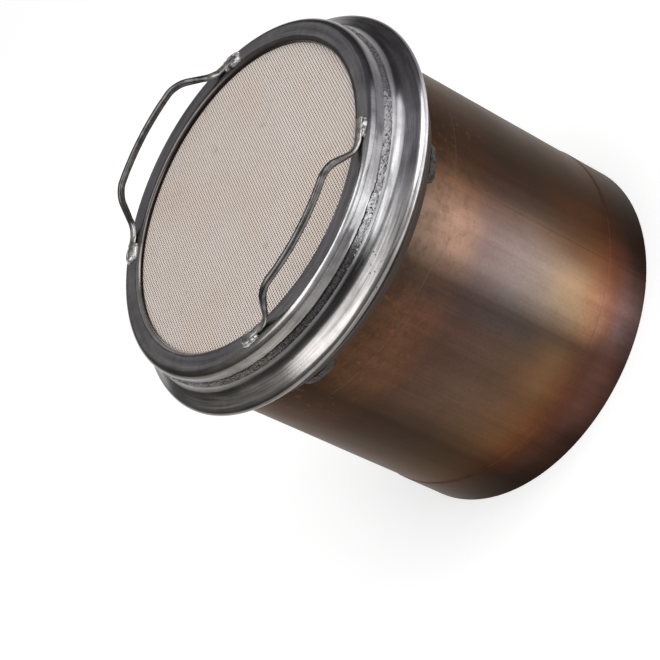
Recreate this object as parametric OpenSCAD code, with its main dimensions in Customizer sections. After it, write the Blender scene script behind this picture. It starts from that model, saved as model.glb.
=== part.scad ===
// Diesel particulate filter: a ceramic wall-flow core in a round steel can,
// with a pressed clamp flange near the inlet and two lifting handles on the inlet rim.
// Millimetres. The outlet edge stands on Z = 0 and the inlet face looks up along +Z.

/* [Filter core] */
// Diameter of the ceramic core
core_d = 304.8; // [250:0.1:340]
// Length of the ceramic core
core_len = 302; // [240:1:360]
// Closed skin round the core's open cells
core_skin = 4; // [2:0.5:8]
// Distance between neighbouring diagonal rows of open cells
row_pitch = 2.54; // [2.5:0.01:5]
// Width of a diagonal row of open cells
row_gap = 1.2; // [0.8:0.1:1.6]
// Depth to which the rows of open cells are cut
row_depth = 1.5; // [0.5:0.1:4]
// Direction of the diagonal rows
row_angle = 69.5; // [0:0.5:180]

/* [Support mat and seals] */
// Thickness of the fibre mat between core and can
mat_t = 6.1; // [4:0.1:10]
// Distance from the core's ends to the mat's ends
mat_inset = 12; // [10:1:30]
// Gap at each edge of the wire-mesh seal rings
seal_gap = 1; // [0.5:0.1:2]

/* [Can] */
// Sheet thickness of the can
can_wall = 1.5; // [1:0.1:2.5]
// Length of the widened band at the outlet end
outlet_band = 44; // [20:1:80]
// How far the widened band stands out from the can
band_step = 0.8; // [0.3:0.1:2]
// Length over which the can widens to the band
band_taper = 2; // [1:0.5:6]
// Width of the lengthwise weld seam
seam_w = 2.4; // [1.5:0.1:4]
// Direction of the lengthwise weld seam
seam_angle = 306; // [0:1:359]

/* [End rings] */
// Sheet thickness of the inlet collar, the outlet ring and the flange
ring_wall = 2; // [1.2:0.1:2.4]
// How far each end ring reaches in over the core's edge
lip_cover = 13.4; // [12:0.1:20]
// Step from the can's outside to the collar's outside
collar_proud = 1.2; // [0.5:0.1:2]
// Length of the collar from the inlet face to the weld joint
collar_len = 17; // [14:0.5:30]
// Depth of the core behind the inlet face
inlet_recess = 5.5; // [5:0.5:12]
// Depth of the core behind the outlet edge
outlet_recess = 9.5; // [8:0.5:16]
// Depth of the outlet ring's face behind the outlet edge
outlet_set_back = 1; // [0.5:0.1:2]
// Length of the outlet ring's skirt inside the can
outlet_skirt = 12; // [10:0.5:16]
// Outside radius of the rolled front corner
corner_r = 7; // [4:0.5:10]
// Outside radius of the rolled inner lip
lip_r = 4; // [2.5:0.1:4]
// Gap between a lip's edge and the core's face
lip_gap = 0.5; // [0.3:0.1:1]

/* [Clamp flange] */
// Height of the flange's crest above the can
flange_h = 20; // [16:0.5:26]
// Length from the weld joint back to the crest
flange_front = 24; // [23:0.5:30]
// Length from the crest back to the end of the skirt
flange_rear = 22; // [20:0.5:28]
// Straight lip under the weld joint
flange_lip = 4; // [4:0.1:5]
// Straight skirt on the can behind the flange
flange_skirt = 3; // [2:0.5:4]
// Outside radius of the neck in front of the crest
neck_r = 11; // [9:0.5:12]
// Outside radius of the crest
crest_r = 5; // [4:0.1:5.5]
// Outside radius of the root behind the crest
root_r = 5; // [3:0.5:7]

/* [Welds] */
// Half the width of the weld round the collar
collar_weld_half = 4; // [2:0.1:4]
// Height of the weld round the collar
collar_weld_h = 1.1; // [0.5:0.1:2]
// Number of stitch welds behind the flange
stitch_count = 5; // [5]
// Length of each stitch weld
stitch_len = 35; // [20:1:50]
// Width of each stitch weld along the can
stitch_w = 7.5; // [5:0.5:10]
// Height of each stitch weld above the can
stitch_h = 2.4; // [2:0.1:4]
// Length of each weld on a handle's foot
foot_weld_len = 20; // [14:0.5:24]
// Width of each weld on a handle's foot
foot_weld_w = 12.5; // [11:0.5:14]
// Height of each weld on a handle's foot
foot_weld_h = 3.5; // [2.5:0.1:4]

/* [Handles] */
// Diameter of the handle rod
rod_d = 6.4; // [4:0.1:8]
// Width of the hammered foot
foot_w = 8; // [6:0.1:9]
// Thickness of the hammered foot
foot_t = 4; // [3:0.1:5]
// Distance from the collar's outside in to the rod's centre line
handle_inset = 12.2; // [11:0.1:14]
// Height of the grip's centre line above the inlet face
grip_rise = 27; // [20:0.5:45]
// Length of the grip between its two bends
grip_len = 108; // [80:1:130]
// Distance along the rim that each leg spreads
leg_spread = 25; // [15:1:35]
// Length of each foot along the rim
foot_len = 28; // [18:1:32]
// Length taken up by the bend at each end of the grip
grip_bend = 10; // [6:0.5:12]
// Length taken up by the bend above each foot
foot_bend = 8; // [5:0.5:10]

/* [Hidden] */
$fn = 180;
core_r = core_d / 2;
can_ri = core_r + mat_t;
can_r = can_ri + can_wall;
band_r = can_r + band_step;
body_len = outlet_recess + core_len + inlet_recess;
core_top = outlet_recess + core_len;
joint_z = body_len - collar_len;
opening_r = core_r - lip_cover;
collar_r = can_r + collar_proud;
flange_r = can_r + ring_wall;
crest_z = joint_z - flange_front;
skirt_z = crest_z - flange_rear;
handle_r = collar_r - handle_inset;
arc_steps = 12;
rod_sides = 16;
bend_steps = 8;
weld_steps = 20;
weld_sides = 8;
ripple_share = 0.07;
hammered = 0.45;
ripple_len = 2.6;
stitch_angles = [for (i = [0 : stitch_count - 1]) 90 + i * 360 / stitch_count];

steel = [0.62, 0.60, 0.60];
tinted_steel = [0.47, 0.33, 0.24];
dark_steel = [0.33, 0.32, 0.33];
weld_grey = [0.42, 0.41, 0.40];
bright_weld = [0.75, 0.74, 0.72];
ceramic = [0.80, 0.74, 0.69];
fibre = [0.88, 0.86, 0.80];
mesh_steel = [0.55, 0.54, 0.52];

// Points along an arc, from angle a0 to angle a1
function arc(centre, r, a0, a1) =
    [for (i = [0 : arc_steps]) let (a = a0 + (a1 - a0) * i / arc_steps) centre + r * [cos(a), sin(a)]];

// The same list of points from last to first
function backwards(list) = [for (i = [len(list) - 1 : -1 : 0]) list[i]];

// Slope of the straight face that runs tangent to a hollow arc and to the crest
function face_slope(hollow, crest, radii) =
    let (d = hollow - crest)
    atan2(d[1], d[0]) - acos(radii / norm(d));

// One surface of the flange's sheet, a given depth under its outside
function flange_side(depth) =
    let (neck = [flange_r + neck_r, joint_z - flange_lip])
    let (crest = [can_r + flange_h - crest_r, crest_z])
    let (root = [flange_r + root_r, skirt_z + flange_skirt])
    let (front = face_slope(neck, crest, neck_r + crest_r))
    let (flipped_root = [root[0], 2 * crest_z - root[1]])
    let (rear = face_slope(flipped_root, crest, root_r + crest_r))
    concat(
        [[flange_r - depth, joint_z]],
        arc(neck, neck_r + depth, 180, 180 + front),
        arc(crest, crest_r - depth, front, -rear),
        arc(root, root_r + depth, 180 - rear, 180),
        [[flange_r - depth, skirt_z]]);

// One surface of an end ring's sheet: skirt, rolled corner, flat face and rolled lip, with the face at Z = 0
function ring_side(outer_r, skirt, lip, depth) =
    concat(
        [[outer_r - depth, -skirt]],
        arc([outer_r - corner_r, -corner_r], corner_r - depth, 0, 90),
        arc([opening_r + lip_r, -lip_r], lip_r - depth, 90, 180),
        [[opening_r + depth, -lip]]);

// Corner rounded off between two straight runs, each shortened by trim
function bend(before, corner, after, trim) =
    let (a = corner + trim * (before - corner) / norm(before - corner))
    let (b = corner + trim * (after - corner) / norm(after - corner))
    [for (i = [0 : bend_steps]) let (t = i / bend_steps)
        (1 - t) * (1 - t) * a + 2 * t * (1 - t) * corner + t * t * b];

// Closed skin over rings of points that all have the same count
module skin(rings) {
    count = len(rings[0]);
    last = len(rings) - 1;
    sides = [for (i = [0 : last - 1], j = [0 : count - 1])
        let (k = (j + 1) % count)
        [i * count + j, i * count + k, (i + 1) * count + k, (i + 1) * count + j]];
    ends = [backwards([for (j = [0 : count - 1]) j]), [for (j = [0 : count - 1]) last * count + j]];
    polyhedron([for (ring = rings) for (p = ring) p], concat(sides, ends), convexity = 6);
}

module tube(outer, inner, z0, z1) {
    translate([0, 0, z0])
        difference() {
            cylinder(h = z1 - z0, r = outer);
            translate([0, 0, -1]) cylinder(h = z1 - z0 + 2, r = inner);
        }
}

// One surface of the can's sheet, a given depth under its outside
function can_side(depth) = [
    [band_r - depth, 0],
    [band_r - depth, outlet_band],
    [can_r - depth, outlet_band + band_taper],
    [can_r - depth, joint_z]];

module can_tube() {
    rotate_extrude() polygon(concat(can_side(0), backwards(can_side(can_wall))));
}

// Lengthwise strip between the sheet's two edges
module seam_strip() {
    rotate([0, 0, seam_angle])
        translate([can_ri - can_wall, -seam_w / 2, -1])
            cube([band_r - can_ri + 2 * can_wall, seam_w, joint_z + 2]);
}

module can_shell() {
    color(tinted_steel)
        difference() {
            can_tube();
            seam_strip();
        }
}

module can_seam_weld() {
    color(weld_grey)
        intersection() {
            can_tube();
            seam_strip();
        }
}

module clamp_flange() {
    color(steel)
        rotate_extrude()
            polygon(concat(flange_side(0), backwards(flange_side(ring_wall))));
}

module end_ring(outer_r, skirt, lip) {
    rotate_extrude()
        polygon(concat(ring_side(outer_r, skirt, lip, 0), backwards(ring_side(outer_r, skirt, lip, ring_wall))));
}

module inlet_collar() {
    color(dark_steel)
        translate([0, 0, body_len])
            end_ring(collar_r, collar_len, inlet_recess - lip_gap);
}

module outlet_ring() {
    color(dark_steel)
        translate([0, 0, outlet_set_back])
            mirror([0, 0, 1])
                end_ring(band_r - can_wall, outlet_skirt, outlet_recess - outlet_set_back - lip_gap);
}

module collar_weld() {
    crown = [for (i = [0 : arc_steps]) let (t = i / arc_steps)
        [flange_r + (collar_r - flange_r) * t + collar_weld_h * sin(180 * t),
            joint_z + collar_weld_half * (2 * t - 1)]];
    color(weld_grey)
        rotate_extrude()
            polygon(concat(crown, [[collar_r, joint_z], [flange_r, joint_z]]));
}

// Share of its full section that a bead has at a place along it: round ends and fine ripples
function bead_size(t, length) =
    max(0.3, sqrt(sin(180 * t))) * (1 - ripple_share * (0.5 + 0.5 * cos(360 * t * length / ripple_len)));

// Fillet bead in the corner between the can and the flange's skirt
module stitch_weld(angle) {
    half = stitch_len / can_r / 2 * 180 / PI;
    seat_r = can_r / cos(half / weld_steps);
    rings = [for (i = [0 : weld_steps]) let (t = i / weld_steps)
        let (a = angle + half * (2 * t - 1))
        let (s = bead_size(t, stitch_len))
        concat(
            [[seat_r * cos(a), seat_r * sin(a), skirt_z]],
            [for (j = [0 : weld_sides])
                let (b = 90 * j / weld_sides)
                let (r = seat_r + s * stitch_h * cos(b))
                [r * cos(a), r * sin(a), skirt_z - s * stitch_w * sin(b)]])];
    color(weld_grey) skin([for (ring = rings) backwards(ring)]);
}

// Route of a handle, unrolled: distance along the rim and height above the inlet face
foot_z = foot_t / 2;
leg_end = grip_len / 2 + leg_spread;
corners = [
    [-leg_end - foot_len, foot_z],
    [-leg_end, foot_z],
    [-grip_len / 2, grip_rise],
    [grip_len / 2, grip_rise],
    [leg_end, foot_z],
    [leg_end + foot_len, foot_z]];
grip_steps = 10;
foot_rings = bend_steps + 3;
route = concat(
    [corners[0], corners[0] + [foot_len / 3, 0]],
    bend(corners[0], corners[1], corners[2], foot_bend),
    bend(corners[1], corners[2], corners[3], grip_bend),
    [for (i = [1 : grip_steps - 1])
        corners[2] + [grip_bend + (grip_len - 2 * grip_bend) * i / grip_steps, 0]],
    bend(corners[2], corners[3], corners[4], grip_bend),
    bend(corners[3], corners[4], corners[5], foot_bend),
    [corners[5] - [foot_len / 3, 0], corners[5]]);

// Direction of the route at one of its points, as an angle of climb
function climb(i) =
    let (d = route[min(i + 1, len(route) - 1)] - route[max(i - 1, 0)])
    atan2(d[1], d[0]);

// Share of round section at a height: 0 on the hammered foot, 1 on the grip
function roundness(z) = min(1, max(0, (z - foot_z) / (grip_rise - foot_z) * 1.6));

// Outline of the rod at one point of its route
function rod_ring(turn, i) =
    let (s = route[i][0])
    let (c = climb(i))
    let (share = roundness(route[i][1]))
    let (w = foot_w + (rod_d - foot_w) * share)
    let (t = foot_t + (rod_d - foot_t) * share)
    [for (j = [0 : rod_sides - 1])
        let (b = 360 * j / rod_sides)
        let (r = handle_r + w / 2 * cos(b))
        let (n = min(t, max(-t, t * (1 + hammered * (1 - share)) * sin(b))) / 2)
        let (a = turn + (s - n * sin(c)) / handle_r * 180 / PI)
        [r * cos(a), r * sin(a), body_len + route[i][1] + n * cos(c)]];

// The foot and the bend above it, at one end of a rod
module rod_foot(turn, side) {
    first = side > 0 ? len(route) - foot_rings : 0;
    skin([for (i = [first : first + foot_rings - 1]) rod_ring(turn, i)]);
}

module handle(turn) {
    color(dark_steel) skin([for (i = [0 : len(route) - 1]) rod_ring(turn, i)]);
}

// Mound of weld over the end of a handle's foot
module foot_weld(turn, side) {
    start = leg_end + foot_len - foot_weld_len * 0.8;
    rings = [for (i = [0 : weld_steps]) let (t = i / weld_steps)
        let (a = turn + side * (start + foot_weld_len * t) / handle_r * 180 / PI)
        let (s = bead_size(t, foot_weld_len))
        [for (j = [0 : weld_sides])
            let (b = 180 * j / weld_sides)
            let (r = handle_r + s * foot_weld_w / 2 * cos(b))
            [r * cos(a), r * sin(a), body_len + s * foot_weld_h * sin(b)]]];
    color(bright_weld)
        difference() {
            skin(side > 0 ? rings : [for (ring = rings) backwards(ring)]);
            rod_foot(turn, side);
            translate([0, 0, -foot_z]) rod_foot(turn, side);
        }
}

// Diagonal rows of open cells in one end of the core, moved by a whole row for each full shift
module cell_rows(z, shift) {
    rows_r = core_r - core_skin;
    rows = floor(rows_r / row_pitch - shift);
    rotate([0, 0, row_angle])
        for (i = [-rows : rows]) {
            y = (i + shift) * row_pitch;
            half = sqrt(rows_r * rows_r - y * y) + row_gap;
            translate([-half, y - row_gap / 2, z - row_depth])
                cube([2 * half, row_gap, 2 * row_depth]);
        }
}

// Cells open at the inlet are plugged at the outlet, so the rows change places there
module filter_core() {
    color(ceramic)
        difference() {
            translate([0, 0, outlet_recess]) cylinder(h = core_len, r = core_r);
            cell_rows(core_top, 0);
            cell_rows(outlet_recess, 0.5);
        }
}

module support_mat() {
    color(fibre) tube(can_ri, core_r, outlet_recess + mat_inset, core_top - mat_inset);
}

// Ring of knitted wire between an end ring's face and the core's edge
module seal(z0, z1) {
    color(mesh_steel) tube(core_r - seal_gap, opening_r + lip_r + seal_gap, z0, z1);
}

module inlet_seal() {
    seal(core_top, body_len - ring_wall);
}

module outlet_seal() {
    seal(outlet_set_back + ring_wall, outlet_recess);
}

can_shell();
can_seam_weld();
clamp_flange();
inlet_collar();
collar_weld();
stitch_weld(stitch_angles[0]);  // stitch_weld_1
stitch_weld(stitch_angles[1]);  // stitch_weld_2
stitch_weld(stitch_angles[2]);  // stitch_weld_3
stitch_weld(stitch_angles[3]);  // stitch_weld_4
stitch_weld(stitch_angles[4]);  // stitch_weld_5
handle(270);  // front_handle
handle(90);  // back_handle
foot_weld(270, -1);  // handle_weld_1
foot_weld(270, 1);  // handle_weld_2
foot_weld(90, -1);  // handle_weld_3
foot_weld(90, 1);  // handle_weld_4
filter_core();
support_mat();
inlet_seal();
outlet_seal();
outlet_ring();
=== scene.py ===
import bmesh
import bpy
import math
from mathutils import Matrix, Vector, noise


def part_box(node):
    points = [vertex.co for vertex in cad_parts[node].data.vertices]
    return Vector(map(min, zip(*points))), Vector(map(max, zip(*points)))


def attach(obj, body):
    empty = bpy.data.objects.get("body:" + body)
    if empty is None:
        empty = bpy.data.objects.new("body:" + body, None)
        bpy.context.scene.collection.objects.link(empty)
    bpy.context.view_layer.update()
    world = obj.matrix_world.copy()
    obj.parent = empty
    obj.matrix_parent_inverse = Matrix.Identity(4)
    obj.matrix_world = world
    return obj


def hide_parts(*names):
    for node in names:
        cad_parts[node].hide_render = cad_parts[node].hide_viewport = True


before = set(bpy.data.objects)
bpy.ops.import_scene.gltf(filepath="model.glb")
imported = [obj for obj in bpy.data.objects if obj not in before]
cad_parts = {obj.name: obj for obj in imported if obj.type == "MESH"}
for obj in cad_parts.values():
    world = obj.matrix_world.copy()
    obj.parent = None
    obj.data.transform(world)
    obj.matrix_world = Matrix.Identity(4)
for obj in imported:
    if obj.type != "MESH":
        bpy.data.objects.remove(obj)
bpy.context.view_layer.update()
scene = bpy.context.scene
scene.view_settings.view_transform = "Standard"
mm = 0.001
fullTurn = 2 * math.pi
print("frame loaded with", len(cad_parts), "nodes")


# lowest and highest corner of a node in millimetres, to a tenth
def sizesOf(node):
    low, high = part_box(node)
    return [round(v / mm, 1) for v in low], [round(v / mm, 1) for v in high]


bandR, jointZ = sizesOf("can_shell")[1][0], sizesOf("can_shell")[1][2]
collarR, faceZ = sizesOf("inlet_collar")[1][0], sizesOf("inlet_collar")[1][2]
skirtZ = sizesOf("clamp_flange")[0][2]
coreR, coreTopZ = sizesOf("filter_core")[1][0], sizesOf("filter_core")[1][2]
coreLowZ = sizesOf("filter_core")[0][2]
handleOut, handleTop = -sizesOf("front_handle")[0][1], sizesOf("front_handle")[1][2]
bandStep = 0.8  # how far the outlet band stands out
flangeWall = 2  # the flange's sheet lies on the can
canR = bandR - bandStep
flangeR = canR + flangeWall
seamAngle = math.radians(306)

# camera as the photograph was taken, for a square picture
view = dict(azimuth=4.80, elevation=33.90, roll=64.78, aim=(-70.25, -5.9, 179.16), distance=2048.68,
    lens=130.237, sensor=36, reach=50)


def addCamera():
    data = bpy.data.cameras.new("photoCamera")
    data.lens = view["lens"]
    data.sensor_width = view["sensor"]
    data.clip_end = view["reach"]
    camera = bpy.data.objects.new("photoCamera", data)
    scene.collection.objects.link(camera)
    turn = Matrix.Rotation(math.radians(view["azimuth"]), 4, "Z")
    tilt = Matrix.Rotation(math.radians(90 - view["elevation"]), 4, "X")
    roll = Matrix.Rotation(-math.radians(view["roll"]), 4, "Z")
    back = Matrix.Translation((0, 0, view["distance"] * mm))
    aim = Matrix.Translation(Vector(view["aim"]) * mm)
    camera.matrix_world = aim @ turn @ tilt @ roll @ back
    scene.camera = camera
    print("camera placed")


# node helpers
def addNode(tree, kind, inputs=None, **settings):
    node = tree.nodes.new("ShaderNode" + kind)
    for key, value in settings.items():
        setattr(node, key, value)
    for key, value in (inputs or {}).items():
        if isinstance(value, bpy.types.NodeSocket):
            tree.links.new(value, node.inputs[key])
        else:
            node.inputs[key].default_value = value
    return node


def calc(tree, operation, *values):
    return addNode(tree, "Math", dict(enumerate(values)), operation=operation).outputs[0]


def times(tree, *values):
    total = values[0]
    for value in values[1:]:
        total = calc(tree, "MULTIPLY", total, value)
    return total


# soft step from 0 to 1 between two values
def fade(tree, value, low, high):
    return addNode(tree, "MapRange", {0: value, 1: low, 2: high}, interpolation_type="SMOOTHSTEP").outputs[0]


# 1 inside a band of values, fading out at both edges
def band(tree, value, low, high, soft):
    return times(tree, fade(tree, value, low - soft, low + soft), fade(tree, value, high + soft, high - soft))


# noise from 0 to 1 turned to a factor round 1
def sway(tree, value, amount):
    return calc(tree, "MULTIPLY_ADD", value, amount, 1 - amount / 2)


def mixColor(tree, factor, a, b, mode="MIX"):
    node = addNode(tree, "Mix", {0: factor, 6: a, 7: b}, data_type="RGBA", blend_type=mode)
    return node.outputs[2]


def dim(tree, color, factor):
    return addNode(tree, "VectorMath", {0: color, "Scale": factor}, operation="SCALE").outputs[0]


# colour as it looks on screen, 0 to 255, turned to Blender's linear one
def shade(red, green, blue):
    parts = [v / 255 for v in (red, green, blue)]
    return [v / 12.92 if v < 0.04045 else ((v + 0.055) / 1.055) ** 2.4 for v in parts] + [1]


def grey(value):
    return [value, value, value, 1]


def ramp(tree, factor, stops):
    node = addNode(tree, "ValToRGB", {0: factor})
    elements = node.color_ramp.elements
    while len(elements) < len(stops):
        elements.new(0.5)
    for element, (position, color) in zip(elements, stops):
        element.position = position
        element.color = color
    return node.outputs[0]


def cloud(tree, vector, scale, detail=4.0, rough=0.55, warp=0.0):
    inputs = {"Vector": vector, "Scale": scale, "Detail": detail, "Roughness": rough, "Distortion": warp}
    return addNode(tree, "TexNoise", inputs).outputs[0]


def pebbles(tree, vector, scale):
    return addNode(tree, "TexVoronoi", {"Vector": vector, "Scale": scale}).outputs["Distance"]


def stretch(tree, vector, scale):
    return addNode(tree, "Mapping", {"Vector": vector, "Scale": scale}).outputs[0]


def bump(tree, height, depth, under=None):
    inputs = {"Height": height, "Distance": depth * mm}
    if under:
        inputs["Normal"] = under
    return addNode(tree, "Bump", inputs).outputs[0]


def startMaterial(name, **fixed):
    material = bpy.data.materials.new(name)
    material.use_nodes = True
    tree = material.node_tree
    shader = tree.nodes["Principled BSDF"]
    for key, value in fixed.items():
        shader.inputs[key.replace("_", " ")].default_value = value
    where = addNode(tree, "TexCoord").outputs["Object"]
    return material, tree, shader, where


def plug(tree, shader, **sockets):
    for key, value in sockets.items():
        tree.links.new(value, shader.inputs[key.replace("_", " ")])


# place on a round piece: turn from 0 to 1 with the seam half way,
# then distance from the axis and height in millimetres
seamTurn = 0.5


def roundPlace(tree, where):
    part = addNode(tree, "SeparateXYZ", {0: where}).outputs
    angle = calc(tree, "ARCTAN2", part[1], part[0])
    start = 1 + seamTurn - seamAngle / fullTurn
    turn = calc(tree, "FRACT", calc(tree, "MULTIPLY_ADD", angle, 1 / fullTurn, start))
    flat = addNode(tree, "VectorMath", {0: where, 1: (1, 1, 0)}, operation="MULTIPLY").outputs[0]
    out = addNode(tree, "VectorMath", {0: flat}, operation="LENGTH").outputs["Value"]
    return turn, calc(tree, "MULTIPLY", out, 1 / mm), calc(tree, "MULTIPLY", part[2], 1 / mm)


# lines that run round the axis, on walls and on flat faces alike
def turnedLines(tree, where, out, height, pitch, run):
    part = addNode(tree, "SeparateXYZ", {0: where}).outputs
    across = calc(tree, "MULTIPLY", calc(tree, "ADD", out, height), 1 / pitch)
    x = calc(tree, "MULTIPLY", part[0], 1 / (run * mm))
    y = calc(tree, "MULTIPLY", part[1], 1 / (run * mm))
    vector = addNode(tree, "CombineXYZ", {0: x, 1: y, 2: across}).outputs[0]
    return cloud(tree, vector, 1.0, detail=3.0, rough=0.6)


# lines along the axis, as rolled sheet has, with their pitch and length in millimetres
def rolledLines(tree, where, pitch, run):
    scale = [1 / (size * mm) for size in (pitch, pitch, run)]
    return cloud(tree, stretch(tree, where, scale), 1.0, detail=4.0, rough=0.6)


# can with heat colours and painted light: colours round the can, factors along it, then single marks,
# each with its span of turn, span of height, colour and strength;
# the colours round the can hold a painted highlight band before the seam, a painted sheen band opposite it
# and painted shade on one side; two marks and a line at the band's taper are painted highlights;
# lines have a pitch and a length, and a sway is how far a pattern changes the tone
tintAndPaintedLight = dict(
    # heat colours round the can; painted highlight 0.42 to 0.50, painted sheen round 0 and 1, painted shade
    # 0.13 to 0.28
    round=[(0.0, (132, 112, 101)), (0.045, (116, 97, 86)), (0.085, (76, 60, 50)), (0.13, (58, 45, 37)),
        (0.19, (66, 51, 42)), (0.28, (50, 39, 32)), (0.312, (84, 65, 53)), (0.385, (86, 67, 58)),
        (0.407, (71, 61, 58)), (0.418, (76, 66, 63)), (0.44, (132, 119, 114)), (0.466, (154, 136, 131)),
        (0.494, (111, 91, 80)), (0.507, (82, 66, 58)), (0.523, (57, 43, 36)), (0.546, (43, 32, 26)),
        (0.57, (43, 34, 30)), (0.64, (52, 45, 42)), (0.675, (68, 54, 47)), (0.71, (108, 88, 77)),
        (0.75, (80, 62, 52)), (0.80, (64, 49, 41)), (0.87, (60, 46, 38)), (0.92, (72, 56, 46)),
        (0.965, (118, 98, 87)), (1.0, (132, 112, 101))],
    along=[(0.0, (0.15, 0.115, 0.115)), (0.047, (0.21, 0.165, 0.165)), (0.083, (0.32, 0.235, 0.235)),
        (0.12, (0.43, 0.26, 0.19)), (0.15, (0.58, 0.36, 0.25)), (0.185, (0.68, 0.45, 0.27)),
        (0.235, (0.68, 0.55, 0.37)), (0.285, (0.63, 0.55, 0.42)), (0.335, (0.59, 0.55, 0.46)),
        (0.40, (0.54, 0.53, 0.48)), (0.47, (0.50, 0.50, 0.50)), (0.60, (0.46, 0.41, 0.41)),
        (0.667, (0.56, 0.45, 0.37)), (0.735, (0.56, 0.45, 0.36)), (0.785, (0.52, 0.42, 0.33)),
        (0.83, (0.40, 0.34, 0.28))],
    marks=[((0.478, 0.545), (50, 110), (86, 50, 32), 0.35), ((0.472, 0.52), (24, 50), (108, 58, 40), 0.30),
        ((0.355, 0.43), (2, 38), (100, 68, 58), 0.55), ((0.362, 0.408), (56, 88), (124, 94, 66), 0.45),
        # painted highlights: the next two marks
        ((0.444, 0.474), (66, 100), (184, 154, 114), 0.40),
        ((0.442, 0.476), (196, 226), (186, 148, 124), 0.40),
        ((0.28, 0.57), (224.4, 225), (140, 122, 110), 0.16),
        # painted highlight line along the band's taper
        ((0.0, 1.0), (44.6, 45.4), (160, 126, 108), 0.10)],
    markEdge=0.014, markSway=1.6, wander=16, bright=2.0, smudge=18, smudgeSway=0.7, grain=420, grainSway=0.35,
    fineLines=(1.6, 110), fineSway=0.32, fineDepth=0.03, broadLines=(12, 260), broadSway=0.55,
    nearFlange=(165, 240), burnt=(40, 30, 26), burntStretch=(60, 60, 90), burntShare=0.45,
    rust=(116, 74, 44), rustScale=150, rustShare=0.55, specks=330, speckShare=0.6, rough=0.26, roughSway=0.2,
    edgeTint=(0.72, 0.66, 0.62, 1))


def tintedSteelPaintedLight():
    material, tree, shader, where = startMaterial("tintedSteelPaintedLight", Metallic=1.0, Anisotropic=0.3,
        Specular_Tint=tintAndPaintedLight["edgeTint"])
    turn, _, height = roundPlace(tree, where)
    smudge = cloud(tree, where, tintAndPaintedLight["smudge"], detail=6, rough=0.65)
    grain = cloud(tree, where, tintAndPaintedLight["grain"], detail=3, rough=0.6)
    fine = rolledLines(tree, where, *tintAndPaintedLight["fineLines"])
    broad = rolledLines(tree, where, *tintAndPaintedLight["broadLines"])
    wander = calc(tree, "MULTIPLY", calc(tree, "SUBTRACT", smudge, 0.5), tintAndPaintedLight["wander"])
    level = calc(tree, "DIVIDE", calc(tree, "ADD", height, wander), jointZ)
    # colours round the can: heat colours with painted highlight, painted sheen and painted shade
    color = ramp(tree, turn, [(t, shade(*c)) for t, c in tintAndPaintedLight["round"]])
    heat = ramp(tree, level, [(t, (*c, 1)) for t, c in tintAndPaintedLight["along"]])
    color = mixColor(tree, 1.0, color, heat, "MULTIPLY")
    tone = times(tree, tintAndPaintedLight["bright"], sway(tree, fine, tintAndPaintedLight["fineSway"]),
        sway(tree, broad, tintAndPaintedLight["broadSway"]), sway(tree, smudge, tintAndPaintedLight["smudgeSway"]),
        sway(tree, grain, tintAndPaintedLight["grainSway"]))
    color = dim(tree, color, tone)
    uneven = times(tree, sway(tree, broad, tintAndPaintedLight["markSway"]), sway(tree, smudge, tintAndPaintedLight["markSway"]))
    # marks: heat colours, two painted highlights and a painted highlight line
    for (start, end), (low, high), paint, strength in tintAndPaintedLight["marks"]:
        tall = band(tree, height, low, high, 0.5 * (high - low) + 0.4)
        spot = times(tree, band(tree, turn, start, end, tintAndPaintedLight["markEdge"]), tall, strength, uneven)
        color = mixColor(tree, spot, color, shade(*paint))
    nearFlange = fade(tree, height, *tintAndPaintedLight["nearFlange"])
    burnt = cloud(tree, stretch(tree, where, tintAndPaintedLight["burntStretch"]), 1.0, detail=6, rough=0.72)
    burnt = times(tree, fade(tree, burnt, 0.42, 0.74), nearFlange, tintAndPaintedLight["burntShare"])
    color = mixColor(tree, burnt, color, shade(*tintAndPaintedLight["burnt"]))
    rust = fade(tree, cloud(tree, where, tintAndPaintedLight["rustScale"], detail=5, rough=0.7), 0.56, 0.70)
    color = mixColor(tree, times(tree, rust, nearFlange, tintAndPaintedLight["rustShare"]), color, shade(*tintAndPaintedLight["rust"]))
    specks = times(tree, fade(tree, pebbles(tree, where, tintAndPaintedLight["specks"]), 0.16, 0.08),
        fade(tree, smudge, 0.50, 0.62), tintAndPaintedLight["speckShare"])
    color = mixColor(tree, specks, color, shade(*tintAndPaintedLight["burnt"]))
    rough = calc(tree, "MULTIPLY_ADD", smudge, tintAndPaintedLight["roughSway"], tintAndPaintedLight["rough"])
    plug(tree, shader, Base_Color=color, Roughness=rough, Normal=bump(tree, fine, tintAndPaintedLight["fineDepth"]),
        Tangent=addNode(tree, "Tangent", direction_type="RADIAL", axis="Z").outputs[0])
    return material
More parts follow.
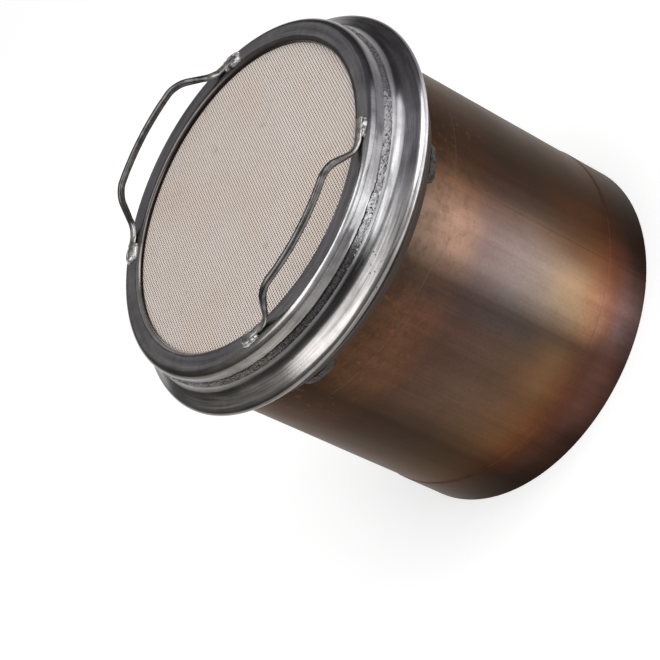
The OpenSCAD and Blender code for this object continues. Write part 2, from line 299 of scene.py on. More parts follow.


# tones round the inlet end as painted reflections: plain steel behind, painted shade where dull,
# painted highlights before the seam, darker after it
steelSheenAndShade = dict(
    collar=[(0.0, (112, 109, 110)), (0.12, (104, 99, 96)), (0.20, (92, 86, 82)), (0.25, (116, 111, 107)),
        (0.30, (136, 132, 128)), (0.37, (132, 128, 126)), (0.395, (108, 105, 107)), (0.412, (122, 120, 122)),
        (0.422, (208, 207, 209)), (0.444, (216, 215, 217)), (0.46, (176, 174, 176)), (0.497, (160, 158, 161)),
        (0.515, (106, 104, 108)), (0.56, (102, 99, 105)), (0.60, (84, 79, 82)), (0.66, (80, 75, 78)),
        (0.85, (108, 105, 106)), (1.0, (112, 109, 110))],
    bead=[(0.0, (112, 109, 110)), (0.20, (116, 111, 107)), (0.29, (118, 114, 110)), (0.315, (84, 81, 80)),
        (0.405, (78, 76, 76)), (0.42, (206, 205, 207)), (0.448, (210, 209, 211)), (0.465, (176, 174, 176)),
        (0.53, (168, 166, 169)), (0.55, (96, 93, 97)), (0.60, (82, 78, 80)), (0.85, (108, 105, 106)),
        (1.0, (112, 109, 110))],
    neck=[(0.0, (116, 113, 114)), (0.20, (118, 113, 110)), (0.27, (112, 108, 106)), (0.31, (94, 91, 91)),
        (0.40, (90, 88, 89)), (0.425, (184, 183, 185)), (0.46, (180, 179, 181)), (0.53, (176, 174, 178)),
        (0.555, (118, 115, 121)), (0.60, (104, 99, 104)), (0.85, (110, 107, 108)), (1.0, (116, 113, 114))],
    cone=[(0.0, (116, 113, 114)), (0.18, (140, 135, 131)), (0.27, (158, 153, 149)), (0.285, (154, 150, 147)),
        (0.30, (152, 149, 147)), (0.40, (160, 157, 156)), (0.448, (164, 161, 162)), (0.475, (118, 115, 121)),
        (0.54, (118, 114, 120)), (0.58, (114, 108, 114)), (0.66, (106, 100, 105)), (0.85, (110, 107, 108)),
        (1.0, (116, 113, 114))],
    crest=[(0.0, (116, 113, 114)), (0.25, (116, 112, 109)), (0.30, (122, 119, 117)), (0.42, (128, 125, 124)),
        (0.455, (176, 174, 175)), (0.47, (222, 220, 222)), (0.53, (218, 216, 220)), (0.555, (128, 124, 130)),
        (0.60, (108, 103, 108)), (0.85, (110, 107, 108)), (1.0, (116, 113, 114))])


# the tones' edges wander by patches and are dragged out along the streaks, both as shares of a turn
steelDrift = dict(scale=24, wander=0.06, drag=0.09)


# painted highlight and painted shade round the ring, with their edges moved by patches and streaks
def steelSheenAndShadeTone(tree, turn, where, part, streaks):
    patchy = calc(tree, "SUBTRACT", cloud(tree, where, steelDrift["scale"], detail=5, rough=0.65), 0.5)
    moved = calc(tree, "MULTIPLY_ADD", patchy, steelDrift["wander"], calc(tree, "ADD", turn, 1.0))
    dragged = calc(tree, "MULTIPLY_ADD", calc(tree, "SUBTRACT", streaks, 0.5), steelDrift["drag"], moved)
    return ramp(tree, calc(tree, "FRACT", dragged), [(t, shade(*c)) for t, c in steelSheenAndShade[part]])


# uneven patches as a factor between two values
def patches(tree, where, scale, low, high):
    spread = fade(tree, cloud(tree, where, scale, detail=6, rough=0.7), 0.36, 0.64)
    return calc(tree, "MULTIPLY_ADD", spread, high - low, low)


# pressed flange: painted highlights and painted shade round cone, neck and crest,
# each zone with the heights where it fades in, dull back, turned streaks, fold lines and a few pits
flangeLook = dict(zones=[("neck", 285.5, 289.5), ("crest", 280.8, 279.2)], backZ=271.5, back=(64, 56, 51),
    foldZ=(273.6, 274.3), foldWander=3.0, foldShare=0.7, dark=(40, 37, 36), pits=240, pitAreas=30,
    lines=(0.9, 90), lineSway=2.0, lineDepth=0.04, streaks=(3.2, 120), streakSway=2.4, streakDepth=0.20,
    smudge=30, smudgeSway=0.6, patch=24, patchTone=(0.85, 1.10), rough=0.10, roughSway=0.20)


def pressedSteel():
    look = flangeLook
    material, tree, shader, where = startMaterial("pressedSteel", Metallic=1.0, Anisotropic=0.4,
        Anisotropic_Rotation=0.25)
    turn, out, height = roundPlace(tree, where)
    smudge = cloud(tree, where, look["smudge"], detail=6, rough=0.7)
    lines = turnedLines(tree, where, out, height, *look["lines"])
    streaks = turnedLines(tree, where, out, height, *look["streaks"])
    # painted highlights and painted shade round the flange, one table for each zone
    color = steelSheenAndShadeTone(tree, turn, where, "cone", lines)
    for part, start, end in look["zones"]:
        paint = steelSheenAndShadeTone(tree, turn, where, part, lines)
        color = mixColor(tree, fade(tree, height, start, end), color, paint)
    tone = times(tree, sway(tree, lines, look["lineSway"]), sway(tree, streaks, look["streakSway"]),
        sway(tree, smudge, look["smudgeSway"]))
    color = dim(tree, color, times(tree, tone, patches(tree, where, look["patch"], *look["patchTone"])))
    atBack = fade(tree, height, look["backZ"] + 1, look["backZ"] - 1)
    color = mixColor(tree, atBack, color, shade(*look["back"]))
    wobble = calc(tree, "MULTIPLY_ADD", calc(tree, "SUBTRACT", smudge, 0.5), look["foldWander"], height)
    fold = times(tree, band(tree, wobble, *look["foldZ"], 0.4), fade(tree, streaks, 0.40, 0.55),
        look["foldShare"])
    pitted = times(tree, fade(tree, pebbles(tree, where, look["pits"]), 0.22, 0.08),
        fade(tree, cloud(tree, where, look["pitAreas"], detail=2), 0.60, 0.66))
    color = mixColor(tree, calc(tree, "MAXIMUM", fold, pitted), color, shade(*look["dark"]))
    rough = calc(tree, "MULTIPLY_ADD", smudge, look["roughSway"], look["rough"])
    normal = bump(tree, lines, look["lineDepth"], bump(tree, streaks, look["streakDepth"]))
    plug(tree, shader, Base_Color=color, Roughness=rough, Normal=normal,
        Tangent=addNode(tree, "Tangent", direction_type="RADIAL", axis="Z").outputs[0])
    return material


# end rings: cloudy charcoal face, painted highlight on the corner, steel wall with painted highlights and
# shade round it, painted highlight on the lip on one side, painted shade inside the opening
ringLook = dict(face=(152, 147, 149), blue=(128, 125, 131), faceR=(143.5, 155.5), faceClouds=13,
    faceRough=0.10, lip=(98, 94, 94), lipR=142.5, rubbedAndSheen=(206, 204, 203), lipHighlightSpan=(0.03, 0.24),
    inside=(48, 41, 38), insideR=139.3, cornerHighlight=(226, 225, 226), cornerHighlightSpan=(0.34, 0.455), cornerHighlightR=157,
    cornerHighlightZ=312, cornerHighlightShare=0.8, wander=3.0, lines=(1.1, 60), lineSway=0.8, lineDepth=0.03,
    streaks=(4.0, 70), streakSway=1.4, streakDepth=0.10, smudge=30, patch=26, patchTone=(0.72, 1.12),
    rough=0.10, roughSway=0.18)


def ringSteel():
    look = ringLook
    material, tree, shader, where = startMaterial("ringSteel", Metallic=1.0)
    turn, out, height = roundPlace(tree, where)
    smudge = cloud(tree, where, look["smudge"], detail=6, rough=0.65)
    lines = turnedLines(tree, where, out, height, *look["lines"])
    streaks = turnedLines(tree, where, out, height, *look["streaks"])
    wobble = calc(tree, "MULTIPLY_ADD", calc(tree, "SUBTRACT", smudge, 0.5), look["wander"], out)
    onFace = band(tree, wobble, *look["faceR"], 0.8)
    clouds = fade(tree, cloud(tree, where, look["faceClouds"], detail=3), 0.42, 0.66)
    face = mixColor(tree, clouds, shade(*look["face"]), shade(*look["blue"]))
    color = mixColor(tree, onFace, steelSheenAndShadeTone(tree, turn, where, "collar", streaks), face)
    # painted highlight: a bright line on the corner over part of a turn
    corner = times(tree, fade(tree, wobble, look["cornerHighlightR"] - 1, look["cornerHighlightR"] + 1),
        fade(tree, height, look["cornerHighlightZ"] - 1, look["cornerHighlightZ"] + 1),
        band(tree, turn, *look["cornerHighlightSpan"], 0.04), look["cornerHighlightShare"])
    color = mixColor(tree, corner, color, shade(*look["cornerHighlight"]))
    # painted highlight on the lip over part of a turn
    rubbedAndSheen = band(tree, turn, *look["lipHighlightSpan"], 0.05)
    lip = mixColor(tree, rubbedAndSheen, shade(*look["lip"]), shade(*look["rubbedAndSheen"]))
    # the lip, then painted shade inside the opening
    for paint, edge, soft in [(lip, look["lipR"], 0.6), (shade(*look["inside"]), look["insideR"], 0.2)]:
        color = mixColor(tree, fade(tree, out, edge + soft, edge - soft), color, paint)
    tone = times(tree, sway(tree, lines, look["lineSway"]), sway(tree, streaks, look["streakSway"]),
        patches(tree, where, look["patch"], *look["patchTone"]))
    color = dim(tree, color, tone)
    rough = calc(tree, "MULTIPLY_ADD", smudge, look["roughSway"], look["rough"])
    rough = calc(tree, "MULTIPLY_ADD", onFace, look["faceRough"], rough)
    normal = bump(tree, lines, look["lineDepth"], bump(tree, streaks, look["streakDepth"]))
    plug(tree, shader, Base_Color=color, Roughness=rough, Normal=normal)
    return material


# weld round the collar: grainy, dark between the grains, with crevices along its edges,
# each as its span of turn and of height
runLook = dict(dark=(34, 31, 31), crevices=[(0.2, 0.42, 296.2, 297.0), (0.16, 0.49, 302.6, 303.8)],
    wander=6.0, waves=60, patch=40, patchSway=1.8, darkShare=0.8, grains=900, grainDepth=0.45,
    mottle=560, mottleDepth=0.40, rough=0.12, roughSway=0.3)


def runSteel():
    look = runLook
    material, tree, shader, where = startMaterial("weldRun", Metallic=1.0)
    turn, _, height = roundPlace(tree, where)
    grains = pebbles(tree, where, look["grains"])
    mottle = cloud(tree, where, look["mottle"], detail=5, rough=0.7)
    patchy = cloud(tree, where, look["patch"], detail=4, rough=0.65)
    waves = calc(tree, "SUBTRACT", cloud(tree, where, look["waves"], detail=5, rough=0.65), 0.5)
    wobble = calc(tree, "MULTIPLY_ADD", waves, look["wander"], height)
    dark = times(tree, fade(tree, mottle, 0.50, 0.60), sway(tree, patchy, look["patchSway"]),
        look["darkShare"])
    for start, end, low, high in look["crevices"]:
        crevice = times(tree, band(tree, wobble, low, high, 0.5), band(tree, turn, start, end, 0.03),
            fade(tree, mottle, 0.26, 0.42))
        dark = calc(tree, "MAXIMUM", dark, crevice)
    # base tone: painted highlights and painted shade round the ring, darkened between the grains
    color = mixColor(tree, dark, steelSheenAndShadeTone(tree, turn, where, "bead", mottle), shade(*look["dark"]))
    rough = calc(tree, "MULTIPLY_ADD", mottle, look["roughSway"], look["rough"])
    normal = bump(tree, mottle, look["mottleDepth"], bump(tree, grains, look["grainDepth"]))
    plug(tree, shader, Base_Color=color, Roughness=rough, Normal=normal)
    return material


# other welds: light tone, dark tone, size of mottling, roughness and depth of the surface
weldLook = dict(
    # stitch welds: both tones darkened as painted shade under the flange
    stitch=dict(light=(70, 67, 66), dark=(32, 30, 29), grain=190, rough=0.34, roughSway=0.25, depth=0.5),
    fresh=dict(light=(212, 210, 209), dark=(74, 70, 69), grain=140, rough=0.26, roughSway=0.25, depth=0.25))


def weldSteel(kind):
    look = weldLook[kind]
    material, tree, shader, where = startMaterial(kind + "Weld", Metallic=1.0)
    mottle = cloud(tree, where, look["grain"], detail=5, rough=0.65)
    color = mixColor(tree, fade(tree, mottle, 0.48, 0.68), shade(*look["light"]), shade(*look["dark"]))
    rough = calc(tree, "MULTIPLY_ADD", mottle, look["roughSway"], look["rough"])
    plug(tree, shader, Base_Color=color, Roughness=rough, Normal=bump(tree, mottle, look["depth"]))
    return material


# handles: dark drawn rod, with hammered feet painted brighter up to a height above the face, a painted
# reflection
rodLook = dict(steel=(116, 114, 113), dark=(64, 62, 61), foot=(188, 184, 180), footDark=(94, 91, 90),
    footUp=(3, 11), mottle=110, mottleDepth=0.06, rubbedAndSheen=34, rough=0.11, roughSway=0.20)


def rodSteel():
    look = rodLook
    material, tree, shader, where = startMaterial("rodSteel", Metallic=1.0)
    mottle = cloud(tree, where, look["mottle"], detail=5, rough=0.6)
    rubbedAndSheen = cloud(tree, where, look["rubbedAndSheen"], detail=3)
    height = roundPlace(tree, where)[2]
    low, high = [faceZ + up for up in look["footUp"]]
    color = mixColor(tree, fade(tree, mottle, 0.34, 0.76), shade(*look["steel"]), shade(*look["dark"]))
    foot = mixColor(tree, fade(tree, mottle, 0.44, 0.70), shade(*look["foot"]), shade(*look["footDark"]))
    # painted reflection: feet brighter below a height above the face
    color = mixColor(tree, fade(tree, height, high, low), color, foot)
    rough = calc(tree, "MULTIPLY_ADD", rubbedAndSheen, look["roughSway"], look["rough"])
    plug(tree, shader, Base_Color=color, Roughness=rough, Normal=bump(tree, mottle, look["mottleDepth"]))
    return material


# ceramic: pale beige, cloudy, with faint soot marks; darker inside the cells, partly soot and partly painted
# shade
ceramicLook = dict(wall=(228, 217, 209), plug=(238, 228, 221), inside=(199, 186, 176),
    warm=(0.98, 0.91, 0.85, 1), warmClouds=11, soot=(0.72, 0.70, 0.70, 1), sootClouds=42, sootShare=0.6,
    grain=900, grainSway=0.3, grainDepth=0.08)


def ceramic(name, base):
    look = ceramicLook
    material, tree, shader, where = startMaterial(name, Roughness=0.9, Specular_IOR_Level=0.25)
    warm = fade(tree, cloud(tree, where, look["warmClouds"], detail=3), 0.40, 0.80)
    soot = fade(tree, cloud(tree, where, look["sootClouds"], detail=4, rough=0.6), 0.62, 0.74)
    grain = cloud(tree, where, look["grain"], detail=2)
    color = mixColor(tree, warm, shade(*base), look["warm"], "MULTIPLY")
    color = mixColor(tree, times(tree, soot, look["sootShare"]), color, look["soot"], "MULTIPLY")
    color = dim(tree, color, sway(tree, grain, look["grainSway"]))
    plug(tree, shader, Base_Color=color, Normal=bump(tree, grain, look["grainDepth"]))
    return material


# hidden pieces: pressed fibre mat and knitted wire
matLook = dict(dark=(196, 190, 176), pale=(232, 228, 216), strands=(60, 60, 400), depth=0.6)
wireLook = dict(dark=(70, 68, 66), pale=(160, 157, 152), waves=260.0, depth=0.3)


def fibreMat():
    material, tree, shader, where = startMaterial("fibreMat", Roughness=0.95)
    strands = cloud(tree, stretch(tree, where, matLook["strands"]), 2, detail=6, rough=0.7, warp=1.5)
    color = mixColor(tree, strands, shade(*matLook["dark"]), shade(*matLook["pale"]))
    plug(tree, shader, Base_Color=color, Normal=bump(tree, strands, matLook["depth"]))
    return material


def knittedWire():
    material, tree, shader, where = startMaterial("knittedWire", Metallic=1.0, Roughness=0.35)
    waves = {"Vector": where, "Scale": wireLook["waves"], "Distortion": 6.0, "Detail": 2.0}
    wires = addNode(tree, "TexWave", waves).outputs[1]
    color = mixColor(tree, wires, shade(*wireLook["dark"]), shade(*wireLook["pale"]))
    plug(tree, shader, Base_Color=color, Normal=bump(tree, wires, wireLook["depth"]))
    return material


# mesh helpers; corners are given as radius, height and rounding in millimetres
roundSegments = 10
ringSteps = 256
mergeGap = 1e-6


def wireProfile(bm, corners):
    verts = [bm.verts.new((r * mm, 0, z * mm)) for r, z, _ in corners]
    for a, b in zip(verts, verts[1:]):
        bm.edges.new((a, b))
    trims = []
    for before, corner, after, spec in zip(verts, verts[1:], verts[2:], corners[1:]):
        half = (before.co - corner.co).angle(after.co - corner.co) / 2
        trims.append((corner, spec[2] * mm / math.tan(half)))
    for corner, trim in trims:
        if trim > 0:
            roundCorner(bm, corner, trim)


def roundCorner(bm, corner, trim):
    bmesh.ops.bevel(bm, geom=[corner], offset=trim, offset_type="OFFSET", affect="VERTICES",
        segments=roundSegments, profile=0.5, material=-1)


def cutLong(bm, length):
    for edge in [e for e in bm.edges if e.calc_length() > 2 * length]:
        bmesh.ops.subdivide_edges(bm, edges=[edge], cuts=int(edge.calc_length() / length))


def spinRound(bm, steps=ringSteps, start=0.0, sweep=fullTurn):
    bmesh.ops.rotate(bm, verts=bm.verts, cent=(0, 0, 0), matrix=Matrix.Rotation(start, 3, "Z"))
    bmesh.ops.spin(bm, geom=bm.verts[:] + bm.edges[:], cent=(0, 0, 0), axis=(0, 0, 1), dvec=(0, 0, 0),
        angle=sweep, steps=steps, use_merge=sweep == fullTurn, use_normal_flip=False, use_duplicate=False)
    cleanUp(bm)


def cleanUp(bm):
    bmesh.ops.remove_doubles(bm, verts=bm.verts, dist=mergeGap)
    bmesh.ops.recalc_face_normals(bm, faces=bm.faces)


# give an open sheet its wall, inward from its outer side
def thicken(bm, wall):
    bmesh.ops.solidify(bm, geom=bm.faces[:], thickness=wall * mm)
    cleanUp(bm)


def faceOutward(bm, outward):
    bm.normal_update()
    bmesh.ops.reverse_faces(bm, faces=[f for f in bm.faces if f.normal.dot(outward) < 0])


def addPiece(name, bm, materials, slot, *nodes, sharp=35):
    for face in bm.faces:
        face.smooth = True
    mesh = bpy.data.meshes.new(name)
    bm.to_mesh(mesh)
    bm.free()
    for material in materials:
        mesh.materials.append(material)
    mesh.set_sharp_from_angle(angle=math.radians(sharp))
    piece = bpy.data.objects.new(name, mesh)
    scene.collection.objects.link(piece)
    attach(piece, "root")
    if nodes:
        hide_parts(*nodes)
    print("made", name, "with", len(mesh.polygons), "faces")


# layered noise at a place in millimetres, grain being the size of the lumps
def lump(place, grain, shift=0.0, octaves=4):
    moved = place / grain + Vector((shift, shift * 0.7, -shift))
    return noise.fractal(moved, 0.8, 2.0, octaves)


# can: rolled sheet from one side of the seam to the other, slightly wavy, with the widened outlet band
can = dict(wall=1.5, bandLen=44, taper=2, taperR=8, seamW=2.4, step=10, wave=0.12, waveLen=60, calm=30)


def makeCan(material):
    bm = bmesh.new()
    wireProfile(bm, [(bandR, 0, 0), (bandR, can["bandLen"], can["taperR"]),
        (canR, can["bandLen"] + can["taper"], can["taperR"]), (canR, jointZ, 0)])
    cutLong(bm, can["step"] * mm)
    gap = can["seamW"] / canR
    spinRound(bm, ringSteps, seamAngle + gap / 2, fullTurn - gap)
    for vert in bm.verts:
        spot = vert.co / mm
        inner = max(0.0, min(1.0, spot.z / can["calm"], (skirtZ - spot.z) / can["calm"]))
        depth = can["wave"] * inner * (1 + lump(spot, can["waveLen"], 3.0, 2))
        vert.co.xy *= 1 - depth / canR
    thicken(bm, can["wall"])
    addPiece("canShell", bm, [material], "can", "can_shell")


# lengthwise seam: a low rippled bead between the sheet's edges
seam = dict(rise=0.12, ripple=0.05, rippleLen=1.8, curl=0.8, flat=2, rows=240, columns=6)


def makeSeam(material):
    bm = bmesh.new()
    bmesh.ops.create_grid(bm, x_segments=seam["columns"], y_segments=seam["rows"], size=1)
    for vert in bm.verts:
        across, z = vert.co.x, (vert.co.y + 1) / 2 * jointZ
        onBand = max(0.0, min(1.0, (can["bandLen"] + can["taper"] - z) / can["taper"]))
        wave = fullTurn * (z + seam["curl"] * across * across) / seam["rippleLen"]
        ripple = seam["ripple"] * math.sin(wave)
        bulge = (seam["rise"] + ripple) * (1 - across * across)
        if z > skirtZ or z < seam["flat"]:
            bulge = 0.0
        r = canR + (bandR - canR) * onBand + bulge
        angle = seamAngle + across * can["seamW"] / 2 / canR
        vert.co = Vector((r * math.cos(angle), r * math.sin(angle), z)) * mm
    faceOutward(bm, Vector((math.cos(seamAngle), math.sin(seamAngle), 0)))
    thicken(bm, can["wall"])
    for vert in bm.verts:
        vert.co.z = max(0.0, vert.co.z)
    addPiece("canSeam", bm, [material], "seam", "can_seam_weld")


# clamp flange: sheet pressed to a hollow neck, a round crest and a skirt on the can
flange = dict(wall=flangeWall, neckZ=289.8, crest=(183.35, 276.5), rootZ=259.4, neckR=11, crestR=5, rootR=5)


def makeFlange(material):
    bm = bmesh.new()
    wireProfile(bm, [(flangeR, jointZ, 0), (flangeR, flange["neckZ"], flange["neckR"]),
        (*flange["crest"], flange["crestR"]), (flangeR, flange["rootZ"], flange["rootR"]),
        (flangeR, skirtZ, 0)])
    spinRound(bm)
    thicken(bm, flange["wall"])
    addPiece("clampFlange", bm, [material], "flange", "clamp_flange")


# inlet collar: skirt, rolled corner, flat face and rolled lip
collar = dict(wall=2, openR=139, lipZ=312, cornerR=7, lipR=4)


def makeCollar(material):
    bm = bmesh.new()
    wireProfile(bm, [(collarR, jointZ, 0), (collarR, faceZ, collar["cornerR"]),
        (collar["openR"], faceZ, collar["lipR"]), (collar["openR"], collar["lipZ"], 0)])
    spinRound(bm)
    thicken(bm, collar["wall"])
    addPiece("inletCollar", bm, [material], "collar", "inlet_collar")


# weld round the collar: a lumpy run with grains and ripples
run = dict(half=4, rise=1.1, sides=16, steps=1600, lumps=0.75, lumpLen=6.0, grains=0.42, grainLen=1.7,
    coarse=0.7, coarseLen=45, smoothest=0.25, ripple=0.06, ripples=420, curl=2.5, sink=0.2, edge=0.2,
    shell=0.6)


def makeCollarWeld(material):
    bm = bmesh.new()
    bmesh.ops.create_grid(bm, x_segments=run["sides"], y_segments=1, size=1)
    bmesh.ops.delete(bm, geom=[v for v in bm.verts if v.co.y > 0], context="VERTS")
    for vert in bm.verts:
        t = (vert.co.x + 1) / 2
        r = flangeR + (collarR - flangeR) * t + run["rise"] * math.sin(math.pi * t)
        vert.co = (r * mm, 0, (jointZ + run["half"] * (2 * t - 1)) * mm)
    spinRound(bm, run["steps"])
    for vert, normal in [(v, v.normal.copy()) for v in bm.verts]:
        spot = vert.co / mm
        t = (spot.z - jointZ) / run["half"]
        wave = run["ripples"] * math.atan2(spot.y, spot.x) + run["curl"] * t * t
        ripple = run["ripple"] * math.sin(wave)
        coarse = max(run["smoothest"], run["coarse"] + lump(spot, run["coarseLen"], 9.0, 1))
        height = run["lumps"] * lump(spot, run["lumpLen"])
        height += run["grains"] * coarse * lump(spot, run["grainLen"], 5.0, 2)
        swell = run["edge"] + (1 - run["edge"]) * max(0.0, 1 - t * t)
        vert.co += normal * mm * (height + ripple - run["sink"]) * swell
    thicken(bm, run["shell"])
    addPiece("collarWeld", bm, [material], "weld", "collar_weld", sharp=60)


# stitch welds in the corner behind the flange
stitch = dict(count=5, first=90, length=35, drop=7.5, rise=2.4, steps=60, sides=12, rough=0.45, grain=3.0,
    ripples=13, ripple=0.06, slant=0.1, ends=0.25, shell=0.3)


def makeStitch(number, material):
    bm = bmesh.new()
    bmesh.ops.create_grid(bm, x_segments=stitch["sides"], y_segments=stitch["steps"], size=1)
    middle = math.radians(stitch["first"] + number * 360 / stitch["count"])
    for vert in bm.verts:
        down, along = (vert.co.x + 1) / 2 * math.pi / 2, vert.co.y
        ends = math.sqrt(max(0.0, 1 - along ** 4))
        wave = stitch["ripples"] * math.pi * (along + stitch["slant"] * down)
        size = (stitch["ends"] + (1 - stitch["ends"]) * ends) * (1 + stitch["ripple"] * math.sin(wave))
        angle = middle + along * stitch["length"] / 2 / canR
        rise, drop = size * stitch["rise"] * math.cos(down), size * stitch["drop"] * math.sin(down)
        spot = Vector((canR * math.cos(angle), canR * math.sin(angle), skirtZ - drop))
        hit = stitch["rough"] * ends * lump(spot, stitch["grain"], number)
        r = canR + max(0.0, rise + hit)
        vert.co = Vector((r * math.cos(angle), r * math.sin(angle), min(skirtZ, spot.z - 0.4 * hit))) * mm
    faceOutward(bm, Vector((math.cos(middle), math.sin(middle), -0.3)))
    thicken(bm, stitch["shell"])
    addPiece(f"stitchWeld{number + 1}", bm, [material], "weld", f"stitch_weld_{number + 1}", sharp=60)


# handles: a rod along the rim, bent up from two hammered feet; lengths along the rim, then sections
handle = dict(grip=54, legEnd=79, footEnd=107, gripBend=10, footBend=8, rod=6.4, footW=8, footT=4,
    sides=20, step=3.0, dent=0.6, dentLen=7, rodDent=0.15, blend=1.6, clear=0.01,
    pieces=[("frontHandle", "front_handle", 270), ("backHandle", "back_handle", 90)])
handle["r"] = handleOut - handle["rod"] / 2
handle["rise"] = handleTop - faceZ - handle["rod"] / 2 - handle["clear"]


def handleRoute():
    low, top = handle["footT"] / 2, handle["rise"]
    bm = bmesh.new()
    spots = [(handle["footEnd"], low), (handle["legEnd"], low), (handle["grip"], top)]
    spots = [(-s, h) for s, h in spots] + spots[::-1]
    verts = [bm.verts.new((s, 0, h)) for s, h in spots]
    for a, b in zip(verts, verts[1:]):
        bm.edges.new((a, b))
    trims = [handle["footBend"], handle["gripBend"], handle["gripBend"], handle["footBend"]]
    for vert, trim in zip(verts[1:-1], trims):
        roundCorner(bm, vert, trim)
    cutLong(bm, handle["step"])
    route = sorted([v.co.copy() for v in bm.verts], key=lambda p: p.x)
    bm.free()
    return route


# place and section of the rod at one point of its route
def rodFrame(route, i):
    ahead = (route[min(i + 1, len(route) - 1)] - route[max(i - 1, 0)]).normalized()
    side = Vector((0, 1, 0))
    up = side.cross(ahead)
    share = max(0.0, min(1.0, handle["blend"] * (route[i].z - handle["footT"] / 2) / handle["rise"]))
    wide = handle["footW"] + (handle["rod"] - handle["footW"]) * share
    thick = handle["footT"] + (handle["rod"] - handle["footT"]) * share
    place = Matrix((side * wide / 2, up * thick / 2, ahead)).transposed().to_4x4()
    place.translation = route[i]
    return place


# from lengths along the rim, across it and above the face to the round rim
def wrapRound(bm, turn):
    for vert in bm.verts:
        r = handle["r"] + vert.co.y
        angle = math.radians(turn) + vert.co.x / handle["r"]
        vert.co = Vector((r * math.cos(angle), r * math.sin(angle), faceZ + max(0.0, vert.co.z))) * mm


def makeHandle(name, node, turn, material):
    route = handleRoute()
    bm = bmesh.new()
    ring = bmesh.ops.create_circle(bm, cap_ends=True, segments=handle["sides"], radius=1)["verts"]
    bmesh.ops.transform(bm, matrix=rodFrame(route, 0), verts=ring)
    edges = list({e for v in ring for e in v.link_edges})
    for i in range(1, len(route)):
        made = bmesh.ops.extrude_edge_only(bm, edges=edges)["geom"]
        ring = [g for g in made if isinstance(g, bmesh.types.BMVert)]
        edges = [g for g in made if isinstance(g, bmesh.types.BMEdge) and all(v in ring for v in g.verts)]
        move = rodFrame(route, i) @ rodFrame(route, i - 1).inverted()
        bmesh.ops.transform(bm, matrix=move, verts=ring)
    bmesh.ops.contextual_create(bm, geom=edges)
    bmesh.ops.recalc_face_normals(bm, faces=bm.faces)
    bm.normal_update()
    for vert, normal in [(v, v.normal.copy()) for v in bm.verts]:
        lowness = max(0.0, 1 - vert.co.z / handle["rise"])
        hammered = handle["rodDent"] + (1 - handle["rodDent"]) * lowness
        vert.co += normal * handle["dent"] * hammered * min(0.0, lump(vert.co, handle["dentLen"], turn, 2))
    wrapRound(bm, turn)
    addPiece(name, bm, [material], "handle", node)


# welds round the handle feet: a bead on each side, one over the end and a few drops,
# each as its place along and across, then its length, width and height
footWeld = dict(middle=101, rough=0.6, grain=5.0,
    beads=[(1, 4.6, 17, 4.6, 3.3), (0, -4.6, 17, 4.4, 3.2), (6.5, 0, 7, 11, 3.5), (-7.5, 4.4, 6, 3.6, 2.6),
        (-7, -4.4, 5, 3.4, 2.4)])


def makeFootWeld(number, turn, side, material):
    bm = bmesh.new()
    for along, across, length, width, height in footWeld["beads"]:
        ball = bmesh.ops.create_icosphere(bm, subdivisions=4, radius=1)["verts"]
        bmesh.ops.scale(bm, verts=ball, vec=(length / 2, width / 2, height))
        bmesh.ops.translate(bm, verts=ball, vec=(side * (footWeld["middle"] + along), across, 0))
    bm.normal_update()
    for vert, normal in [(v, v.normal.copy()) for v in bm.verts]:
        vert.co += normal * footWeld["rough"] * lump(vert.co, footWeld["grain"], number * 3.1, 2)
    cut = bm.verts[:] + bm.edges[:] + bm.faces[:]
    bmesh.ops.bisect_plane(bm, geom=cut, plane_co=(0, 0, 0), plane_no=(0, 0, 1), clear_inner=True)
    bmesh.ops.holes_fill(bm, edges=[e for e in bm.edges if e.is_boundary])
    bmesh.ops.recalc_face_normals(bm, faces=bm.faces)
    wrapRound(bm, turn)
    addPiece(f"handleWeld{number}", bm, [material], "bright_weld", f"handle_weld_{number}", sharp=60)


# filter core: a round block with a sheet of cells let into each end, every other cell plugged
core = dict(pitch=1.796, wall=0.3, cellDeep=2.5, sheet=4, cellsR=140.8, recessR=142, edgeR=0.5, angle=24.5)


def makeCoreBody(material):
    bm = bmesh.new()
    half = [(0, coreTopZ - core["sheet"], 0), (core["recessR"], coreTopZ - core["sheet"], 0),
        (core["recessR"], coreTopZ, 0), (coreR, coreTopZ, core["edgeR"])]
    wireProfile(bm, half + [(r, coreTopZ + coreLowZ - z, rounding) for r, z, rounding in half[::-1]])
    spinRound(bm)
    addPiece("filterCore", bm, [material], "core", "filter_core")


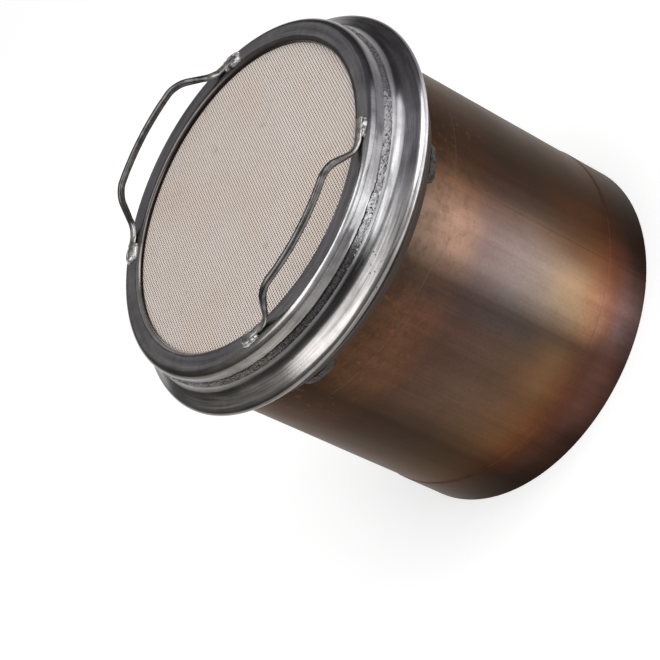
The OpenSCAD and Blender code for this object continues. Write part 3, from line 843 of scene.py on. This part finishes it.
def makeCells(name, faceUp, materials):
    pitch, radius = core["pitch"] * mm, core["cellsR"] * mm
    count = 2 * math.ceil(radius / pitch)
    bm = bmesh.new()
    bmesh.ops.create_grid(bm, x_segments=count, y_segments=count, size=count * pitch / 2)
    far = [f for f in bm.faces if f.calc_center_median().length > radius]
    bmesh.ops.delete(bm, geom=far, context="FACES")
    cells = []
    for face in bm.faces:
        middle = face.calc_center_median()
        if (math.floor(middle.x / pitch) + math.floor(middle.y / pitch)) % 2 == 0:
            cells.append(face)
        else:
            face.material_index = 1
    made = bmesh.ops.extrude_edge_only(bm, edges=[e for e in bm.edges if e.is_boundary])["geom"]
    low = [g for g in made if isinstance(g, bmesh.types.BMVert)]
    bmesh.ops.translate(bm, verts=low, vec=(0, 0, -core["sheet"] * mm))
    rim = [g for g in made if isinstance(g, bmesh.types.BMEdge) and g.is_boundary]
    bmesh.ops.contextual_create(bm, geom=rim)
    bmesh.ops.inset_individual(bm, faces=cells, thickness=core["wall"] / 2 * mm, depth=0,
        use_even_offset=True)
    floors = bmesh.ops.extrude_discrete_faces(bm, faces=cells)["faces"]
    corners = list({v for f in floors for v in f.verts})
    bmesh.ops.translate(bm, verts=corners, vec=(0, 0, -core["cellDeep"] * mm))
    # cell walls and floors take the darker inside ceramic, partly soot and partly painted shade
    for inside in {f for floor in floors for e in floor.edges for f in e.link_faces}:
        inside.material_index = 2
    place = Matrix.Rotation(math.radians(core["angle"]), 4, "Z")
    if not faceUp:
        place = Matrix.Rotation(math.pi, 4, "X") @ place
    place = Matrix.Translation((0, 0, (coreTopZ if faceUp else coreLowZ) * mm)) @ place
    bmesh.ops.transform(bm, matrix=place, verts=bm.verts)
    bmesh.ops.recalc_face_normals(bm, faces=bm.faces)
    addPiece(name, bm, materials, "core", sharp=20)


def dressNode(node, material):
    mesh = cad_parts[node].data
    mesh.materials.clear()
    mesh.materials.append(material)


# studio: pale floor, grey dome and soft boxes overhead, in front and at the right
studio = dict(floor=0.80, lift=0.54, floorSize=30, aim=(0, 0, 0.16),
    dome=[(0.0, 0.14), (0.35, 0.24), (1.0, 0.56)])
softBoxes = [
    dict(name="topBox", azimuth=-70, elevation=80, distance=1.7, size=(0.9, 1.8), power=8.5),
    dict(name="frontBox", azimuth=27, elevation=30, distance=1.7, size=(0.72, 1.24), power=3.2),
    dict(name="sideBox", azimuth=70, elevation=28, distance=1.7, size=(1.4, 1.4), power=10.0),
]


def makeFloor():
    bm = bmesh.new()
    bmesh.ops.create_grid(bm, x_segments=1, y_segments=1, size=studio["floorSize"])
    mesh = bpy.data.meshes.new("floor")
    bm.to_mesh(mesh)
    bm.free()
    floor = bpy.data.objects.new("floor", mesh)
    scene.collection.objects.link(floor)
    material = bpy.data.materials.new("paleFloor")
    material.use_nodes = True
    tree = material.node_tree
    tree.nodes.remove(tree.nodes["Principled BSDF"])
    path = addNode(tree, "LightPath").outputs
    seen = calc(tree, "MAXIMUM", path["Is Camera Ray"], path["Is Glossy Ray"])
    seen = calc(tree, "MAXIMUM", seen, path["Is Transmission Ray"])
    matte = addNode(tree, "BsdfDiffuse", {"Color": grey(studio["floor"])})
    glow = addNode(tree, "Emission", {"Color": grey(1.0), "Strength": times(tree, seen, studio["lift"])})
    both = addNode(tree, "AddShader", {0: matte.outputs[0], 1: glow.outputs[0]})
    tree.links.new(both.outputs[0], tree.nodes["Material Output"].inputs["Surface"])
    mesh.materials.append(material)


def makeLights():
    world = bpy.data.worlds.new("dome")
    scene.world = world
    world.use_nodes = True
    tree = world.node_tree
    up = addNode(tree, "SeparateXYZ", {0: addNode(tree, "TexCoord").outputs["Generated"]}).outputs[2]
    dome = ramp(tree, up, [(t, grey(v)) for t, v in studio["dome"]])
    tree.links.new(dome, tree.nodes["Background"].inputs["Color"])
    aim = Vector(studio["aim"])
    for box in softBoxes:
        data = bpy.data.lights.new(box["name"], "AREA")
        data.shape = "RECTANGLE"
        data.size, data.size_y = box["size"]
        data.energy = box["power"]
        lamp = bpy.data.objects.new(box["name"], data)
        a, e = math.radians(box["azimuth"]), math.radians(box["elevation"])
        back = Vector((math.sin(a) * math.cos(e), -math.cos(a) * math.cos(e), math.sin(e)))
        lamp.location = aim + back * box["distance"]
        lamp.rotation_euler = back.to_track_quat("Z", "Y").to_euler()
        lamp.visible_camera = False
        scene.collection.objects.link(lamp)
    print("floor and", len(softBoxes), "soft boxes set")


addCamera()
makeFloor()
makeLights()

tintedPaintedLight, ring, rod, wire = tintedSteelPaintedLight(), ringSteel(), rodSteel(), knittedWire()
stitchSteel, freshSteel = weldSteel("stitch"), weldSteel("fresh")
cells = [ceramic("ceramic" + part.title(), ceramicLook[part]) for part in ("wall", "plug", "inside")]

makeCan(tintedPaintedLight)
makeSeam(tintedPaintedLight)
makeFlange(pressedSteel())
makeCollar(ring)
makeCollarWeld(runSteel())
for number in range(stitch["count"]):
    makeStitch(number, stitchSteel)
for name, node, turn in handle["pieces"]:
    makeHandle(name, node, turn, rod)
feet = [(turn, side) for _, _, turn in handle["pieces"] for side in (-1, 1)]
for number, (turn, side) in enumerate(feet, 1):
    makeFootWeld(number, turn, side, freshSteel)
makeCoreBody(cells[0])
makeCells("inletCells", True, cells)
makeCells("outletCells", False, cells)
dressNode("support_mat", fibreMat())
dressNode("inlet_seal", wire)
dressNode("outlet_seal", wire)
dressNode("outlet_ring", ring)

print("all pieces made")
